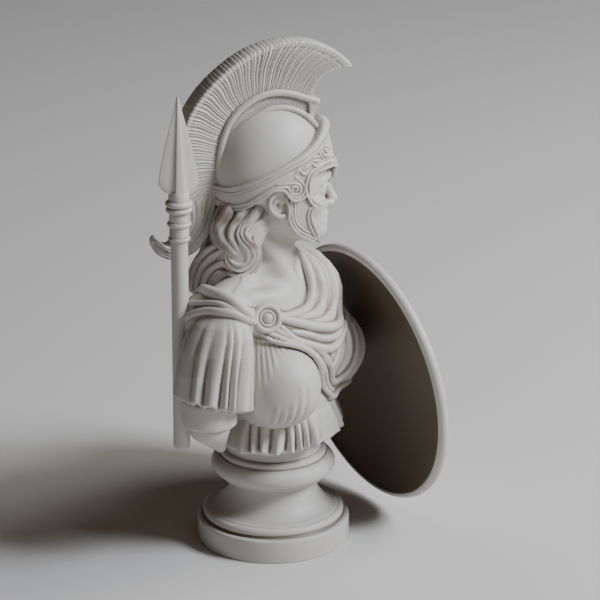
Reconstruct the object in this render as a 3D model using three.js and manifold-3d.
// Helmeted bust on a turned socle, with a spear behind the shoulder and a round shield at the far arm
import * as THREE from 'three'
import { mergeVertices } from 'three/addons/utils/BufferGeometryUtils.js'
import Module from 'manifold-3d'

// Driving sizes, in millimetres and degrees. +Z is up, and the chest faces -Y
const gap = 0.3
const figureHeight = 268
const plinthRadius = 49
const plinthHeight = 15.5
const ringHeight = 6.5
const filletHeight = 2.5
const scotiaFootRadius = 41.5
const scotiaNeckRadius = 27.2
const scotiaHeight = 20.5
const torusRadius = 39.8
const torusHeight = 12.5
const socleTopRadius = 34
const socleTopHeight = 3.6
const shieldRadius = 87.5
const shieldRimThickness = 7
const shieldWall = 6
const shieldDish = 9
const shieldLip = 4.2
const spearLength = 230
const shaftRadius = 5.3
const bladeLength = 61
const bladeHalfWidth = 13.4
const bladeThickness = 8.5
const headTurn = 40
const crestThickness = 15

// Places in the figure's own coordinates, which count heights from the floor
const figureSeat = 61.8
const figureTop = 329.8
const headAt = [-1.95, 4.82, 236]
const spearFoot = [-57.6, 37.9, 74]
const spearLean = [0.3, -0.5]
const shieldCentre = [61.4, -38.2, 94.8]
const shieldOutward = [0.809, -0.572, 0.135]

const stone = { color: 0xbcb8ae, roughness: 0.78, metalness: 0 }

const wasm = await Module()
wasm.setup()

const vec = ([x, y, z]) => new THREE.Vector3(x, y, z)
const mix = (a, b, t) => a + (b - a) * t
const clamp01 = (t) => Math.min(1, Math.max(0, t))
const ease = (t) => clamp01(t) ** 2 * (3 - 2 * clamp01(t))

// Turn any closed geometry into a solid whose faces point out
function solid(geometry) {
  const bare = geometry.clone()
  bare.deleteAttribute('normal')
  bare.deleteAttribute('uv')
  const merged = mergeVertices(bare, 1e-4)
  const spots = merged.attributes.position.array
  const corners = merged.index.array
  const faces = []
  let volume = 0
  for (let i = 0; i < corners.length; i += 3) {
    const [a, b, c] = [corners[i], corners[i + 1], corners[i + 2]]
    if (a === b || b === c || c === a) continue
    faces.push(a, b, c)
    const [p, q, r] = [a, b, c].map((n) => new THREE.Vector3().fromArray(spots, 3 * n))
    volume += p.dot(q.cross(r))
  }
  if (volume < 0) faces.reverse()
  const mesh = new wasm.Mesh({
    numProp: 3,
    vertProperties: new Float32Array(spots),
    triVerts: new Uint32Array(faces)
  })
  return new wasm.Manifold(mesh)
}

const join = (solids) => solids.reduce((whole, next) => whole.add(next))

// Turn a solid back into a flat-shaded geometry
function geometryOf(whole) {
  const { numProp, vertProperties, triVerts } = whole.getMesh()
  const spots = new Float32Array(triVerts.length * 3)
  triVerts.forEach((n, i) => spots.set(vertProperties.subarray(numProp * n, numProp * n + 3), 3 * i))
  const geometry = new THREE.BufferGeometry()
  geometry.setAttribute('position', new THREE.BufferAttribute(spots, 3))
  geometry.computeVertexNormals()
  return geometry
}

// Draw the ends of very short edges together, shortest first, so that joins leave no slivers behind
function withoutSlivers(whole, shortest) {
  const { numProp, vertProperties, triVerts } = whole.getMesh()
  const spots = []
  for (let i = 0; i < vertProperties.length; i += numProp) spots.push(new THREE.Vector3().fromArray(vertProperties, i))
  const faces = []
  for (let i = 0; i < triVerts.length; i += 3) faces.push([...triVerts.subarray(i, i + 3)])
  const around = spots.map(() => new Set())
  faces.forEach((face, f) => face.forEach((v) => around[v].add(f)))
  const neighbours = (v) => new Set([...around[v]].flatMap((f) => faces[f]).filter((n) => n !== v))
  const normal = ([a, b, c]) => b.clone().sub(a).cross(c.clone().sub(a))
  const keepsFacing = (v, other, spot) =>
    [...around[v]].filter((f) => !faces[f].includes(other)).every((f) => {
      const before = normal(faces[f].map((n) => spots[n]))
      const after = normal(faces[f].map((n) => (n === v ? spot : spots[n])))
      return after.dot(before) > 0.3 * after.length() * before.length() && after.length() > 1e-3
    })
  const edges = faces.flatMap(([a, b, c]) => [[a, b], [b, c], [c, a]]).filter(([a, b]) => a < b)
  const span = ([a, b]) => spots[a].distanceTo(spots[b])
  const short = edges.filter((edge) => span(edge) < shortest).sort((a, b) => span(a) - span(b))
  for (const [a, b] of short) {
    if (!around[a].size || !around[b].size || span([a, b]) >= shortest) continue
    const near = neighbours(a)
    if (!near.has(b)) continue
    const shared = [...neighbours(b)].filter((n) => near.has(n))
    const spot = spots[a].clone().lerp(spots[b], 0.5)
    if (shared.length !== 2 || !keepsFacing(a, b, spot) || !keepsFacing(b, a, spot)) continue
    for (const f of [...around[b]]) {
      if (faces[f].includes(a)) {
        faces[f].forEach((v) => around[v].delete(f))
        continue
      }
      faces[f] = faces[f].map((v) => (v === b ? a : v))
      around[b].delete(f)
      around[a].add(f)
    }
    spots[a].copy(spot)
  }
  const live = faces.filter((face, f) => around[face[0]].has(f))
  const geometry = new THREE.BufferGeometry().setFromPoints(spots)
  geometry.setIndex(outerSkin(live).flat())
  return solid(geometry)
}

// The largest connected set of faces, without the sealed pockets that joins can leave inside
function outerSkin(faces) {
  const touching = new Map()
  faces.forEach((face) => face.forEach((v) => touching.set(v, [...(touching.get(v) ?? []), face])))
  const seen = new Set()
  const skins = []
  for (const start of faces) {
    if (seen.has(start)) continue
    const skin = [start]
    seen.add(start)
    for (let i = 0; i < skin.length; i++) {
      for (const next of skin[i].flatMap((v) => touching.get(v))) {
        if (seen.has(next)) continue
        seen.add(next)
        skin.push(next)
      }
    }
    skins.push(skin)
  }
  return skins.sort((a, b) => b.length - a.length)[0]
}

// Rings of equal length joined side by side, with a fan over each end
function ringSkin(rings) {
  const count = rings[0].length
  const spots = rings.flat()
  const middle = (ring) => ring.reduce((sum, p) => sum.add(p), new THREE.Vector3()).divideScalar(count)
  const first = spots.push(middle(rings[0])) - 1
  const last = spots.push(middle(rings[rings.length - 1])) - 1
  const faces = []
  for (let r = 0; r + 1 < rings.length; r++) {
    for (let i = 0; i < count; i++) {
      const j = (i + 1) % count
      const [a, b, c, d] = [r * count + i, r * count + j, (r + 1) * count + j, (r + 1) * count + i]
      faces.push(a, b, c, a, c, d)
    }
  }
  const top = (rings.length - 1) * count
  for (let i = 0; i < count; i++) {
    const j = (i + 1) % count
    faces.push(j, i, first, top + i, top + j, last)
  }
  const geometry = new THREE.BufferGeometry().setFromPoints(spots)
  geometry.setIndex(faces)
  return geometry
}

// A round bar along a smooth curve: thick in the middle part, thinner at its ends
function bar(points, radius, { sides = 5, steps = 8, ends = 0.35 } = {}) {
  const curve = new THREE.CatmullRomCurve3(points)
  const frames = curve.computeFrenetFrames(steps, false)
  const rings = []
  for (let s = 0; s <= steps; s++) {
    const t = s / steps
    const r = radius * mix(ends, 1, Math.sin(Math.PI * clamp01(t)) ** 0.5)
    const at = curve.getPointAt(t)
    const ring = []
    for (let i = 0; i < sides; i++) {
      const angle = (2 * Math.PI * i) / sides
      const spot = at.clone().addScaledVector(frames.normals[s], r * Math.cos(angle))
      ring.push(spot.addScaledVector(frames.binormals[s], r * Math.sin(angle)))
    }
    rings.push(ring)
  }
  return ringSkin(rings)
}

// A turned solid about Z, from radius and height pairs that start and end on the axis
function turned(profile, segments) {
  const outline = profile.map(([r, z]) => new THREE.Vector2(r, z))
  return new THREE.LatheGeometry(outline, segments).rotateX(Math.PI / 2)
}

const arc = (cx, cz, rx, rz, from, to, steps) =>
  Array.from({ length: steps + 1 }, (_, i) => {
    const angle = THREE.MathUtils.degToRad(mix(from, to, i / steps))
    return [cx + rx * Math.cos(angle), cz + rz * Math.sin(angle)]
  })

// Rounded forms as distance fields, blended into one soft surface
const ball = ([cx, cy, cz], [sx, sy, sz]) => ([x, y, z]) => {
  const [u, v, w] = [x - cx, y - cy, z - cz]
  const near = Math.hypot(u / sx, v / sy, w / sz)
  const slope = Math.hypot(u / sx ** 2, v / sy ** 2, w / sz ** 2)
  return slope < 1e-9 ? -Math.min(sx, sy, sz) : (near * (near - 1)) / slope
}

function limb([ax, ay, az], [bx, by, bz], startRadius, endRadius) {
  const [dx, dy, dz] = [bx - ax, by - ay, bz - az]
  const length2 = dx * dx + dy * dy + dz * dz
  return ([x, y, z]) => {
    const [u, v, w] = [x - ax, y - ay, z - az]
    const t = clamp01((u * dx + v * dy + w * dz) / length2)
    const [p, q, r] = [u - dx * t, v - dy * t, w - dz * t]
    return Math.sqrt(p * p + q * q + r * r) - mix(startRadius, endRadius, t)
  }
}

function softUnion(a, b, k) {
  const h = clamp01(0.5 + (0.5 * (b - a)) / k)
  return mix(b, a, h) - k * h * (1 - h)
}

const blended = (forms, k) => (p) => forms.reduce((d, form) => softUnion(d, form(p), k), 1e3)

// The outer skin of a field, met by rays that come in towards its centre
function castSkin(field, centre, columns, rows, turn = (s) => s, tilt = (s) => s) {
  const reach = 140
  const meet = (azimuth, polar) => {
    const way = [
      Math.sin(polar) * Math.cos(azimuth),
      Math.sin(polar) * Math.sin(azimuth),
      Math.cos(polar)
    ]
    let t = reach
    for (let n = 0; n < 90 && t > 1; n++) {
      const d = field(way.map((v, i) => centre[i] + v * t))
      if (d < 0.01) break
      t -= Math.max(0.75 * d, 0.01)
    }
    return vec(way.map((v, i) => centre[i] + v * t))
  }
  const rings = []
  for (let r = 1; r < rows; r++) {
    const ring = []
    for (let c = 0; c < columns; c++) {
      ring.push(meet(turn((2 * Math.PI * c) / columns - Math.PI), tilt((Math.PI * r) / rows)))
    }
    rings.push(ring)
  }
  return ringSkin(rings)
}

// Pull a point on to a field's surface, then lift it by a given height
function settle(field, point, lift) {
  let p = point.toArray()
  const step = 0.2
  for (let n = 0; n < 5; n++) {
    const d = field(p) - lift
    const slope = p.map((_, i) => {
      const ahead = p.map((v, k) => (k === i ? v + step : v))
      return (field(ahead) - field(p)) / step
    })
    const size = Math.hypot(...slope) || 1
    p = p.map((v, i) => v - (slope[i] / size) * d)
  }
  return vec(p)
}

// A fold of cloth: a chain of limbs laid along the surface of a field, thinner at its ends
function foldOn(field, spots, radius, { lift = 0, count = 8, ends = 0.4 } = {}) {
  const guide = new THREE.CatmullRomCurve3(spots.map(vec))
  const laid = guide.getPoints(count).map((p) => settle(field, p, lift))
  const girth = (t) => radius * mix(ends, 1, Math.sqrt(Math.sin(Math.PI * t)))
  const links = laid.slice(1).map((to, i) =>
    limb(laid[i].toArray(), to.toArray(), girth(i / count), girth((i + 1) / count))
  )
  const middle = laid[Math.round(count / 2)]
  const reach = Math.max(...laid.map((spot) => spot.distanceTo(middle))) + radius
  return (p) => {
    const far = Math.hypot(p[0] - middle.x, p[1] - middle.y, p[2] - middle.z) - reach
    return far > 12 ? far : Math.min(...links.map((link) => link(p)))
  }
}

// Socle

const ringTop = plinthHeight + ringHeight
const scotiaTop = ringTop + scotiaHeight
const torusMid = scotiaTop + filletHeight + torusHeight / 2
const torusTop = torusMid + torusHeight / 2
const socleHeight = torusTop + socleTopHeight

function socleSolid() {
  const edgeRound = 1.6
  const topEase = 0.8
  const ledge = 3.6
  const fillet = 6.6
  const beadRound = 2.6
  const ringRadius = plinthRadius - ledge
  const neckSpan = scotiaFootRadius - scotiaNeckRadius
  const torusRound = torusHeight / 2
  return turned([
    [0, 0],
    [plinthRadius - topEase, 0],
    [plinthRadius, topEase],
    ...arc(plinthRadius - edgeRound, plinthHeight - edgeRound, edgeRound, edgeRound, 0, 90, 2),
    [ringRadius, plinthHeight],
    ...arc(ringRadius - beadRound, ringTop - beadRound - 0.6, beadRound, beadRound, -40, 80, 2),
    [scotiaFootRadius, ringTop - 0.6],
    ...arc(scotiaFootRadius, ringTop + scotiaHeight, neckSpan, scotiaHeight, 268, 184, 4),
    [scotiaNeckRadius + fillet - topEase, scotiaTop],
    [scotiaNeckRadius + fillet, scotiaTop + filletHeight],
    ...arc(torusRadius - torusRound, torusMid, torusRound, torusRound, -76, 76, 3),
    [socleTopRadius, torusTop],
    [socleTopRadius, socleHeight - topEase],
    [socleTopRadius - topEase, socleHeight],
    [0, socleHeight]
  ], 28)
}

// Torso under the cloth

const torsoForms = [
  ball([0, 3, 140], [46, 31, 44]),
  limb([-46, 8, 163], [46, 8, 163], 15, 15),
  limb([-10, 10, 188], [-48, 10, 168], 8, 10),
  limb([10, 10, 188], [48, 10, 168], 8, 10),
  ball([-35, -19.5, 121], [25, 26.5, 28]),
  ball([35, -18, 120], [25, 26.5, 27.5]),
  ball([0, -4, 97], [43, 34, 26]),
  ball([0, 22, 150], [40, 18, 34])
]
const torso = blended(torsoForms, 9)

// Ring of a pleated cloth: every second point stands out, as a ridge between two valleys
function pleatRing(pleats, [x, y], [halfX, halfY], z, depth, drop = 0) {
  return Array.from({ length: pleats * 2 }, (_, i) => {
    const angle = (Math.PI * i) / pleats
    const wave = i % 2 ? -depth : depth
    const [rx, ry] = [halfX + wave, halfY + wave]
    return vec([x + rx * Math.cos(angle), y + ry * Math.sin(angle), z - (i % 2 ? -drop : drop)])
  })
}

// Short skirt of the tunic under the belt, with a wavy hem
function peplum() {
  const pleats = 22
  const levels = [[100, 37, 29, 0], [93, 43, 34.5, 0.8], [83, 45.5, 36.2, 1.6], [72, 46, 35.6, 2.6]]
  const rings = levels.map(([z, halfX, halfY, depth], i) =>
    pleatRing(pleats, [0, -4.5], [halfX, halfY], z, depth, i === 3 ? 1.2 : 0)
  )
  rings.push(pleatRing(pleats, [0, -2], [32, 29], 74.5, 0))
  return solid(ringSkin(rings))
}

// A pleated sleeve that widens towards its scalloped hem
function sleeve(side, halfX, halfY) {
  const flutes = 14
  const levels = [
    [177, 55, 8, 0.45, 0],
    [168, 58, 8, 0.75, 0.4],
    [154, 61, 8.5, 0.87, 1.3],
    [136, 65, 9.4, 0.95, 2.2],
    [116, 69, 10.5, 1, 3]
  ]
  const rings = levels.map(([z, x, y, share, depth], i) =>
    pleatRing(flutes, [side * x, y], [halfX * share, halfY * share], z, depth, i === 4 ? 1.3 : 0)
  )
  rings.push(pleatRing(flutes, [side * 68.5, 10.5], [halfX - 5.5, halfY - 5.5], 121, 0))
  return solid(ringSkin(rings))
}

function brooch() {
  const across = 9.3
  const disc = turned([
    [0, -3],
    [across, -3],
    ...arc(across - 1.6, 1, 1.6, 1.6, -30, 160, 4),
    [across - 3.6, 0.6],
    ...arc(across - 4.6, 1.2, 0.9, 0.9, 0, 180, 3),
    [across - 5.8, 0.8],
    ...arc(0, 0.9, 3.2, 3, 0, 90, 4)
  ], 16)
  const facing = new THREE.Quaternion().setFromUnitVectors(new THREE.Vector3(0, 0, 1), vec([-0.68, -0.62, 0.39]))
  disc.applyQuaternion(facing)
  return solid(disc.translate(-42, -15.6, 164.2))
}

// Folds of the mantle, laid on the torso from points chosen along each fold
function mantleFolds() {
  const repeat = (count, make) => Array.from({ length: count }, (_, n) => make(n))
  const rolls = repeat(3, (n) =>
    foldOn(torso, [
      [-31 - 6 * n, 39 - 2 * n, 168 - 5 * n],
      [-44 - 6 * n, 16 - n, 181 - 2 * n],
      [-44 - 4.5 * n, 2, 177 - n],
      [-40 - 2 * n, -11, 168 - 2 * n]
    ], 4.2, { lift: 1.6, ends: 0.6 })
  )
  const neckline = repeat(4, (n) =>
    foldOn(torso, [
      [-33, -22 - 2 * n, 164 - 4 * n],
      [-8, -26 - 3 * n, 160 - 7 * n],
      [14 + 4 * n, -22 - 3 * n, 163 - 6 * n],
      [28 + 5 * n, -8 - n, 174 - 4 * n],
      [31 + 6 * n, 8, 184 - 5 * n]
    ], 3, { lift: 1, count: 10 })
  )
  const edge = foldOn(torso, [
    [-44, -18, 155],
    [-36, -30, 149],
    [-26, -40, 141],
    [-17, -42, 131],
    [-9, -39, 118],
    [0, -38, 105],
    [3, -37, 100]
  ], 2.8, { lift: 1, count: 12, ends: 0.7 })
  const cowl = repeat(3, (n) =>
    foldOn(torso, [
      [-36, -25 - 2 * n, 159 - 3 * n],
      [-18, -36, 151 - 5 * n],
      [4, -38, 144 - 6 * n],
      [20, -40, 143 - 6 * n],
      [31, -36, 152 - 5 * n]
    ], 3, { lift: 1, count: 9 })
  )
  const under = repeat(3, (n) =>
    foldOn(torso, [
      [3, -38, 100 + 4 * n],
      [20 - 2 * n, -44, 102 + 5 * n],
      [36 - 2 * n, -42, 108 + 8 * n],
      [50 - 2 * n, -26, 122 + 9 * n],
      [56, -8, 140 + 8 * n]
    ], 2.6, { lift: 0, count: 9 })
  )
  const back = repeat(5, (n) =>
    foldOn(torso, [
      [-38 + 8 * n, 34, 164 - n],
      [-24 + 12 * n, 42, 140 - 2 * n],
      [-2 + 11 * n, 40, 112 - n]
    ], 3.4, { lift: 0.4 })
  )
  return [...rolls, ...neckline, edge, ...cowl, ...under, ...back]
}

// Gathers of the tunic that run up over each breast from the belt
function gathers() {
  const one = (side, n) => {
    const spread = -14 + 7 * n
    return foldOn(torso, [
      [side * (36 + spread * 0.8), -32 + Math.abs(spread) * 0.3, 97],
      [side * (36 + spread * 1.1), -41 + Math.abs(spread) * 0.4, 106],
      [side * (37 + spread * 1.25), -43 + Math.abs(spread) * 0.5, 116]
    ], 2, { lift: 0.2, count: 4 })
  }
  return [-1, 1].flatMap((side) => [0, 1, 2, 3, 4].map((n) => one(side, n)))
}

function drapedTorso() {
  const folds = [...mantleFolds(), ...gathers()]
  const draped = (p) => softUnion(torso(p), Math.min(...folds.map((fold) => fold(p))), 2.2)
  const closeInFront = (s) => s - 0.3 * Math.sin(s + 2)
  return solid(castSkin(draped, [0, -2, 130], 52, 27, closeInFront))
}

// Stumps of the arms. The near one is cut level, with a wedge of stone that runs in to the socle
function arms() {
  const near = turned([[0, 100.6], [14.5, 100.6], [17, 103.4], [17.2, 126], [0, 126]], 16)
  near.scale(1, 1.02, 1).translate(-67, 10.6, 0)
  const wedge = ringSkin([
    [[-80, 22], [-80, -1], [-66, -6], [-54, 0], [-50, 22], [-66, 27]].map(([x, y]) => vec([x, y, 106])),
    [[-34, 20], [-34, 6], [-26, -2], [-18, 0], [-14, 16], [-26, 24]].map(([x, y]) => vec([x, y, 66]))
  ])
  const upper = bar([vec([58, 8, 150]), vec([63, 8, 140]), vec([64, 7, 116])], 14, { sides: 10, steps: 3, ends: 0.9 })
  const fore = bar([vec([62, 8, 122]), vec([70, -8, 116]), vec([92, -38, 108])], 11, { sides: 10, steps: 3, ends: 0.9 })
  return [near, wedge, upper, fore].map(solid)
}

// Head, in its own frame: X runs to the face, Y to her left, and Z up

const faceForms = [
  ball([1, 0, 12], [33, 26, 33]),
  ball([12, 0, -6], [26, 21, 26]),
  ball([17, 0, -19], [20, 18.5, 15]),
  ball([32, 0, -30.5], [7.5, 9, 6.5]),
  ball([25, -14, -11], [11, 8, 9]),
  ball([25, 14, -11], [11, 8, 9]),
  limb([35, -9, 7], [35, 9, 7], 5, 5),
  limb([38, 0, 3], [44, 0, -11.5], 2.4, 3.2),
  ball([44.6, 0, -12.6], [4, 3.2, 3.2]),
  limb([40.5, -3.6, -13.6], [40.5, 3.6, -13.6], 2.3, 2.3),
  ball([25, 0, -24], [13.6, 14, 11]),
  limb([37.6, -4.6, -21.8], [37.6, 4.6, -21.8], 2.5, 2.5),
  limb([37.4, -3.6, -25.2], [37.4, 3.6, -25.2], 2.5, 2.5)
]
const softFace = blended(faceForms, 4)
const sockets = [ball([40, -11, -1], [6, 7, 4.6]), ball([40, 11, -1], [6, 7, 4.6])]
const eyes = [ball([31.5, -10.8, -1.5], [6, 6.6, 5.6]), ball([31.5, 10.8, -1.5], [6, 6.6, 5.6])]
const face = (p) => {
  const hollowed = sockets.reduce((d, form) => -softUnion(-d, form(p), 3), softFace(p))
  return eyes.reduce((d, form) => softUnion(d, form(p), 0.8), hollowed)
}

// The helmet's outer shell: an egg that is longer in front, and a slimmer one for the cheek guards
const shell = { at: [4, 8], front: 43, back: 37.5, wide: 31, tall: 58 }
const cheekShell = { at: [6, 2], front: 40, back: 40, wide: 28.4, tall: 48 }

function sideOf({ at, front, back, wide, tall }, a, h) {
  const along = (a - at[0]) / (a > at[0] ? front : back)
  return wide * Math.sqrt(Math.max(0, 1 - along ** 2 - ((h - at[1]) / tall) ** 2))
}

function egg({ at, front, back, wide, tall }) {
  const form = new THREE.SphereGeometry(1, 24, 16).rotateX(Math.PI / 2)
  const spots = form.attributes.position
  for (let i = 0; i < spots.count; i++) {
    const [x, y, z] = [spots.getX(i), spots.getY(i), spots.getZ(i)]
    spots.setXYZ(i, at[0] + x * (x > 0 ? front : back), y * wide, at[1] + z * tall)
  }
  return solid(form)
}

// Everything inside a side outline, right across the head
function acrossHead(outline) {
  const shape = new THREE.Shape(outline.map(([a, h]) => new THREE.Vector2(a, h)))
  const block = new THREE.ExtrudeGeometry(shape, { depth: 100, bevelEnabled: false })
  return solid(block.rotateX(Math.PI / 2).translate(0, 50, 0))
}

const smooth = (points, count) =>
  new THREE.SplineCurve(points.map(([a, h]) => new THREE.Vector2(a, h))).getPoints(count).map((p) => [p.x, p.y])

const bandTop = [[-34, 4.5], [-26, 5], [-16.8, 9.7], [-2, 16.5], [13, 24.5], [26, 31.5], [34, 37], [38.5, 42.5]]
const bandFoot = [[-34, -6], [-27, -8], [-19, -5.2], [-10, 0.8], [-2.3, 4.8], [3.5, 3.6]]
const eyeEdge = [[27.8, -9.9], [21.2, -3.4], [18.5, 3.4], [19.4, 8.8], [23.5, 12.4], [30, 14.4], [37, 14.4], [45, 12]]
const cheekBack = [[6, 2], [6.6, -5], [8.2, -13], [11.5, -20.5], [16.5, -26.5], [22.5, -31.5], [28, -34.5]]
const cheekFront = [[28, -34.5], [26.4, -27], [23.6, -20], [22, -14.9], [27.8, -9.9]]
const voluteAt = [11.4, 4.6]
const voluteRadius = 6.2

// A raised rib along a side outline, on both sides of the head
function ribOn(egged, line, radius, options = {}) {
  return [-1, 1].map((side) => {
    const laid = line.map(([a, h]) => vec([a, side * sideOf(egged, a, h), h]))
    return solid(bar(laid, radius, { sides: 3, steps: line.length - 1, ends: 0.6, ...options }))
  })
}

function helmet() {
  const bowl = new THREE.SphereGeometry(1, 24, 16).rotateX(Math.PI / 2).scale(36.5, 29, 42.5).translate(4, 0, 10)
  const nasal = [[44, 8], [44.2, 2], [46.6, 1.5], [46.8, 8], [45.4, 16], [44.2, 26], [42.6, 36], [39.5, 42.5]]
  const bandOutline = [
    ...smooth(bandTop, 9),
    ...nasal.toReversed(),
    ...smooth(eyeEdge, 8).toReversed(),
    ...smooth(cheekBack, 4).slice(0, 2).toReversed(),
    ...smooth(bandFoot, 6).toReversed()
  ]
  const band = egg(shell).intersect(acrossHead(bandOutline))
  const cheekOutline = [...smooth(cheekBack, 6), ...smooth(cheekFront, 4).slice(1), [20.5, -1], [14, 3]]
  const cheeks = egg(cheekShell).intersect(acrossHead(cheekOutline))
  const turns = 1.5
  const beads = 12
  const spiral = Array.from({ length: beads }, (_, i) => {
    const t = i / (beads - 1)
    const angle = -Math.PI / 2 - 2 * Math.PI * turns * t
    const r = mix(voluteRadius, 1, t)
    return [voluteAt[0] + r * Math.cos(angle), voluteAt[1] + r * Math.sin(angle)]
  })
  return [
    solid(bowl),
    band,
    cheeks,
    ...ribOn(shell, smooth(bandTop, 10), 2.2),
    ...ribOn(shell, smooth(bandFoot, 6), 1.8),
    ...ribOn(shell, smooth(eyeEdge, 8), 1.6),
    ...ribOn(cheekShell, smooth(cheekBack, 6), 1.6),
    ...ribOn(cheekShell, smooth(cheekFront, 4), 1.6),
    ...ribOn(shell, spiral, 1.5)
  ]
}

// The horsehair crest: ribs fan out from the holder, then run down into a curled tail
const crestOuter = [
  [55.5, 74], [45, 83.5], [28, 91.5], [9, 92], [-10, 87], [-26, 77.5], [-40, 65], [-50, 51], [-55, 36],
  [-58.5, 20], [-60, 5], [-59, -9], [-57.5, -20], [-60, -26.5], [-65.5, -28.8], [-70.5, -27.5], [-74.5, -24.5]
]
const crestInner = [
  [30, 55], [26, 57.5], [17, 60.5], [8, 62], [-1, 61.4], [-10, 57.8], [-18, 52], [-24.5, 43.5], [-29.5, 34],
  [-31.5, 23], [-31.5, 12], [-33.8, 0], [-36, -13], [-39.5, -27], [-47, -34.8], [-60, -38.8], [-74, -31.5]
]

function crestSlab() {
  const ribs = 22
  const tailStations = 9
  const ribShare = 10 / 16
  const outer = new THREE.SplineCurve(crestOuter.map(([a, h]) => new THREE.Vector2(a, h)))
  const inner = new THREE.SplineCurve(crestInner.map(([a, h]) => new THREE.Vector2(a, h)))
  const stations = []
  for (let i = 0; i <= ribs * 2; i++) stations.push([(ribShare * i) / (ribs * 2), i % 2 ? 0.8 : -0.4])
  for (let i = 1; i <= tailStations; i++) stations.push([mix(ribShare, 1, i / tailStations), 0])
  const across = 2
  const rings = stations.map(([t, relief]) => {
    const [from, to] = [inner.getPoint(t), outer.getPoint(t)]
    const lean = Math.max(0, 1 - t / 0.25) * 7
    const fade = ease((1 - t) / 0.06)
    const ring = []
    for (const side of [-1, 1]) {
      for (let j = 0; j <= across; j++) {
        const s = side < 0 ? j / across : 1 - j / across
        const bend = lean * 4 * s * (1 - s)
        const middle = from.clone().lerp(to, s)
        const half = (crestThickness / 2) * mix(0.72, 1.1, s) * mix(0.7, 1, fade)
        const raised = half + relief * (s < 0.01 ? 0 : 1)
        ring.push(vec([middle.x - bend * 0.75, side * raised, middle.y + bend * 0.75]))
      }
    }
    return ring
  })
  return solid(ringSkin(rings))
}

function crestHolder() {
  const outerPath = [
    [35, 51.5], [26, 57], [17, 60.5], [8, 62], [-1, 61.4], [-10, 57.8], [-18, 52], [-24.5, 43.5], [-29.5, 34],
    [-31.8, 23], [-31.5, 12]
  ]
  const innerPath = [
    [38, 38], [32, 44], [23, 50], [12, 53.4], [0, 53], [-10, 48.5], [-18, 41.5], [-24, 32], [-28, 21], [-29.5, 10]
  ]
  const rim = smooth(outerPath, 11)
  const foot = [[33, 30], [10, 40], [-10, 38], [-24, 22], [-28, 6]]
  const wall = new THREE.Shape([...rim, ...smooth(foot, 5).toReversed()].map(([a, h]) => new THREE.Vector2(a, h)))
  const half = 6.2
  const plate = new THREE.ExtrudeGeometry(wall, { depth: 2 * half, bevelEnabled: false })
  const pieces = [solid(plate.rotateX(Math.PI / 2).translate(0, half, 0))]
  for (const side of [-1, 1]) {
    const rimBar = rim.map(([a, h]) => vec([a, side * 6.6, h]))
    const footBar = smooth(innerPath, 10).map(([a, h]) => vec([a, side * 8.2, h - 1]))
    pieces.push(solid(bar(rimBar, 2.4, { sides: 4, steps: 12, ends: 0.8 })))
    pieces.push(solid(bar(footBar, 2, { sides: 3, steps: 11, ends: 0.8 })))
  }
  return pieces
}

// Hair, in the head's frame: a soft mass under wavy locks
function hair() {
  const mass = blended([
    ball([-14, 0, -14], [19, 23, 18]),
    limb([-20, 0, -20], [-31, 12, -58], 15, 15),
    limb([-16, -9, -24], [-27, -2, -54], 12, 11),
    limb([-26, 4, -40], [-40, 4, -62], 13, 12)
  ], 8)
  const locks = [
    [[-30, -10, -9], [-34, -9, -18], [-34, -10, -27], [-29, -13, -32], [-22, -18, -38]],
    [[-26, -18, -7], [-29, -17, -20], [-26.5, -18, -29], [-20, -20, -37]],
    [[-18, -22, -7], [-24, -21, -17], [-22, -22, -26], [-13, -21, -33], [-11, -20, -41], [-17, -19, -48]],
    [[-17, -19, -48], [-24, -18, -49], [-30, -17, -43], [-28, -18, -36]],
    [[-7, -25, -1], [-6.5, -24, -10], [-10, -23, -16], [-16, -22, -22]],
    [[-15, -18, -49], [-25, -16, -51], [-32, -13, -53], [-35, -10, -60]],
    [[-32, -2, -12], [-38, 0, -26], [-36, 2, -40], [-44, 0, -56]],
    [[-32, 7, -12], [-36, 10, -26], [-39, 9, -42], [-45, 13, -60]],
    [[-28, 17, -10], [-31, 19, -24], [-34, 20, -40], [-40, 26, -60]],
    [[-19, 22, -8], [-22, 23, -22], [-22, 22, -36], [-30, 27, -54]],
    [[-8, 25, -2], [-8, 23, -14], [-13, 22, -26], [-18, 24, -44]]
  ]
  const skin = solid(castSkin(mass, [-20, 0, -24], 12, 9))
  return [skin, ...locks.map((spots) => solid(bar(spots.map(vec), 5.2, { sides: 4, steps: 6, ends: 0.45 })))]
}

function ears() {
  return [-1, 1].map((side) => {
    const ear = new THREE.SphereGeometry(1, 8, 6).scale(6, 3.4, 8.6).rotateY(-0.2)
    return solid(ear.translate(-0.5, side * 25.6, -4))
  })
}

function headSolids() {
  const closeInFront = (s) => s - 0.66 * Math.sin(s)
  const closeAtMouth = (s) => s + 0.3 * Math.sin(2 * s - 0.35)
  const facing = THREE.MathUtils.degToRad(headTurn - 90)
  const place = new THREE.Matrix4().makeRotationZ(facing).setPosition(...headAt)
  const skin = solid(castSkin(face, [8, 0, -6], 28, 22, closeInFront, closeAtMouth))
  const all = [skin, ...ears(), ...helmet(), crestSlab(), ...crestHolder(), ...hair()]
  return join(all).transform(place.elements)
}

function neck() {
  const column = bar([vec([1, 8, 158]), vec([0, 4, 178]), vec([0, 2.5, 195]), vec([-1, 4, 220])], 17.2, {
    sides: 14, steps: 4, ends: 1.1
  })
  return [solid(column)]
}

// Spear, upright in its own frame with its foot at the origin

const ringsAt = spearLength - bladeLength - 6

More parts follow.
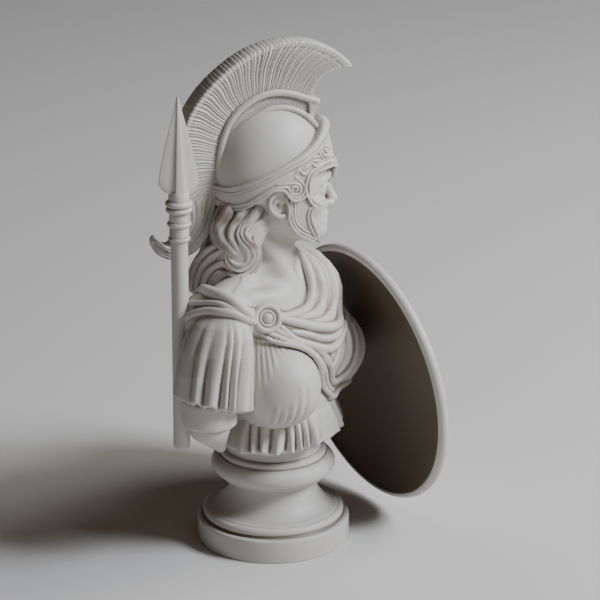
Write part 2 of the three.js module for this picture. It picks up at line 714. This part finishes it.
function spearShape() {
  const r = shaftRadius
  const collar = (z, half, out) => arc(r + out - half, z, half, half, -90, 90, 2)
  const shaft = turned([
    [0, 0],
    ...arc(r - 2.5, 2.5, 2.5, 2.5, -60, 0, 2),
    [r, ringsAt - 22],
    ...collar(ringsAt - 20.5, 1.2, 1.6),
    [r + 0.6, ringsAt - 19],
    [r + 0.6, ringsAt - 12.5],
    ...collar(ringsAt - 11, 1.5, 2.2),
    [r + 1, ringsAt - 9],
    [r + 1, ringsAt - 3.6],
    ...collar(ringsAt - 2, 1.6, 2.8),
    ...collar(ringsAt + 2, 1.6, 2.8),
    [r - 0.2, ringsAt + 4.5],
    [r - 1, ringsAt + 14],
    [0, ringsAt + 16]
  ], 8)
  return join([solid(shaft), bladeSolid()])
}

// Leaf blade with a flat rib that ends bluntly above the socket
function bladeSolid() {
  const foot = spearLength - bladeLength
  const outline = [[0, 0.5], [0.05, 0.84], [0.11, 1], [0.33, 0.82], [0.56, 0.56], [0.78, 0.29], [1, 0.02]]
  const rings = outline.map(([share, width]) => {
    const z = foot + bladeLength * share
    const half = Math.max(bladeHalfWidth * width, 0.4)
    const ribHalf = Math.min(3.1 * (1 - share) + 0.5, half * 0.9)
    const thick = (bladeThickness / 2) * mix(1, 0.2, share)
    const edge = 0.7 * mix(1, 0.5, share)
    return [
      [half, -edge], [half, edge], [ribHalf, thick * 0.55], [ribHalf * 0.75, thick], [-ribHalf * 0.75, thick],
      [-ribHalf, thick * 0.55], [-half, edge], [-half, -edge], [-ribHalf, -thick * 0.55],
      [-ribHalf * 0.75, -thick], [ribHalf * 0.75, -thick], [ribHalf, -thick * 0.55]
    ].map(([x, y]) => vec([x, y, z]))
  })
  return solid(ringSkin(rings))
}

function spearPlace() {
  const top = [spearFoot[0] + spearLean[0], spearFoot[1] + spearLean[1], spearFoot[2] + spearLength]
  const up = vec(top).sub(vec(spearFoot)).normalize()
  const bladeTurn = new THREE.Quaternion().setFromAxisAngle(new THREE.Vector3(0, 0, 1), THREE.MathUtils.degToRad(-98))
  const lean = new THREE.Quaternion().setFromUnitVectors(new THREE.Vector3(0, 0, 1), up)
  return { at: vec(spearFoot), turn: lean.multiply(bladeTurn) }
}

// Shield, in its own frame: Z points away from the figure, and the rim's inner face is at zero

function shieldShape(grow = 0) {
  const dish = shieldRadius - shieldLip
  const inside = [0, 0.5, 0.97].map((s) => [dish * s, 1.4 + shieldDish * (1 - s ** 2) - grow])
  const round = shieldRimThickness / 2
  const rim = arc(shieldRadius - round, round, round + grow, round + grow, -90, 90, 3)
  const out = shieldRimThickness + grow
  const boss = 16
  return turned([
    ...inside,
    [dish + grow * 0.2, -grow],
    ...rim,
    [dish - 5, out - 0.5],
    [dish - 7, out - 1.6 + 2.2],
    [dish * 0.55, 1.4 + shieldDish * (1 - 0.3) + shieldWall + grow],
    [boss + 6, 1.4 + shieldDish * 0.93 + shieldWall + grow],
    ...arc(0, 1.4 + shieldDish * 0.93 + shieldWall + grow, boss, 6, 0, 90, 2)
  ], 32)
}

function shieldPlace() {
  const outward = vec(shieldOutward).normalize()
  return { at: vec(shieldCentre), turn: new THREE.Quaternion().setFromUnitVectors(new THREE.Vector3(0, 0, 1), outward) }
}

// The whole figure with its seat, cut back from the spear and the shield by the gap
function bustSolid() {
  const seat = turned([[0, figureSeat], [31, figureSeat], [31, 80], [0, 80]], 32)
  const sliver = 2.1
  const figure = withoutSlivers(join([
    drapedTorso(),
    peplum(),
    sleeve(-1, 19, 24.5),
    sleeve(1, 14.5, 21),
    ...arms(),
    ...neck(),
    brooch(),
    solid(seat),
    headSolids()
  ]), sliver)
  const scale = figureHeight / (figureTop - figureSeat)
  const grown = shaftRadius + gap
  const groove = turned([[0, -1], [grown, -1], [grown, ringsAt - 24], [0, ringsAt - 24]], 24)
  const spear = spearPlace()
  groove.applyQuaternion(spear.turn).translate(...spear.at.toArray())
  const shield = shieldPlace()
  const rest = shieldShape(gap).applyQuaternion(shield.turn).translate(...shield.at.toArray())
  const beyond = turned([[0, 16], [shieldRadius, 8], [shieldRadius, 60], [0, 60]], 24)
  beyond.applyQuaternion(shield.turn).translate(...shield.at.toArray())
  const scaled = figure
    .translate([0, 0, -figureSeat])
    .scale([scale, scale, scale])
    .translate([0, 0, figureSeat])
  return scaled.subtract(solid(groove)).subtract(solid(rest)).subtract(solid(beyond))
}

function piece(name, geometry, { at, turn } = {}) {
  const mesh = new THREE.Mesh(geometry, new THREE.MeshStandardMaterial(stone))
  mesh.name = name
  if (at) mesh.position.copy(at)
  if (turn) mesh.quaternion.copy(turn)
  return mesh
}

const group = new THREE.Group()
const figureGroup = new THREE.Group()
figureGroup.position.z = socleHeight + gap - figureSeat
group.add(piece('socle', geometryOf(solid(socleSolid()))))
figureGroup.add(piece('bust', geometryOf(bustSolid())))
figureGroup.add(piece('spear', geometryOf(spearShape()), spearPlace()))
figureGroup.add(piece('shield', geometryOf(solid(shieldShape())), shieldPlace()))
group.add(figureGroup)

export default group
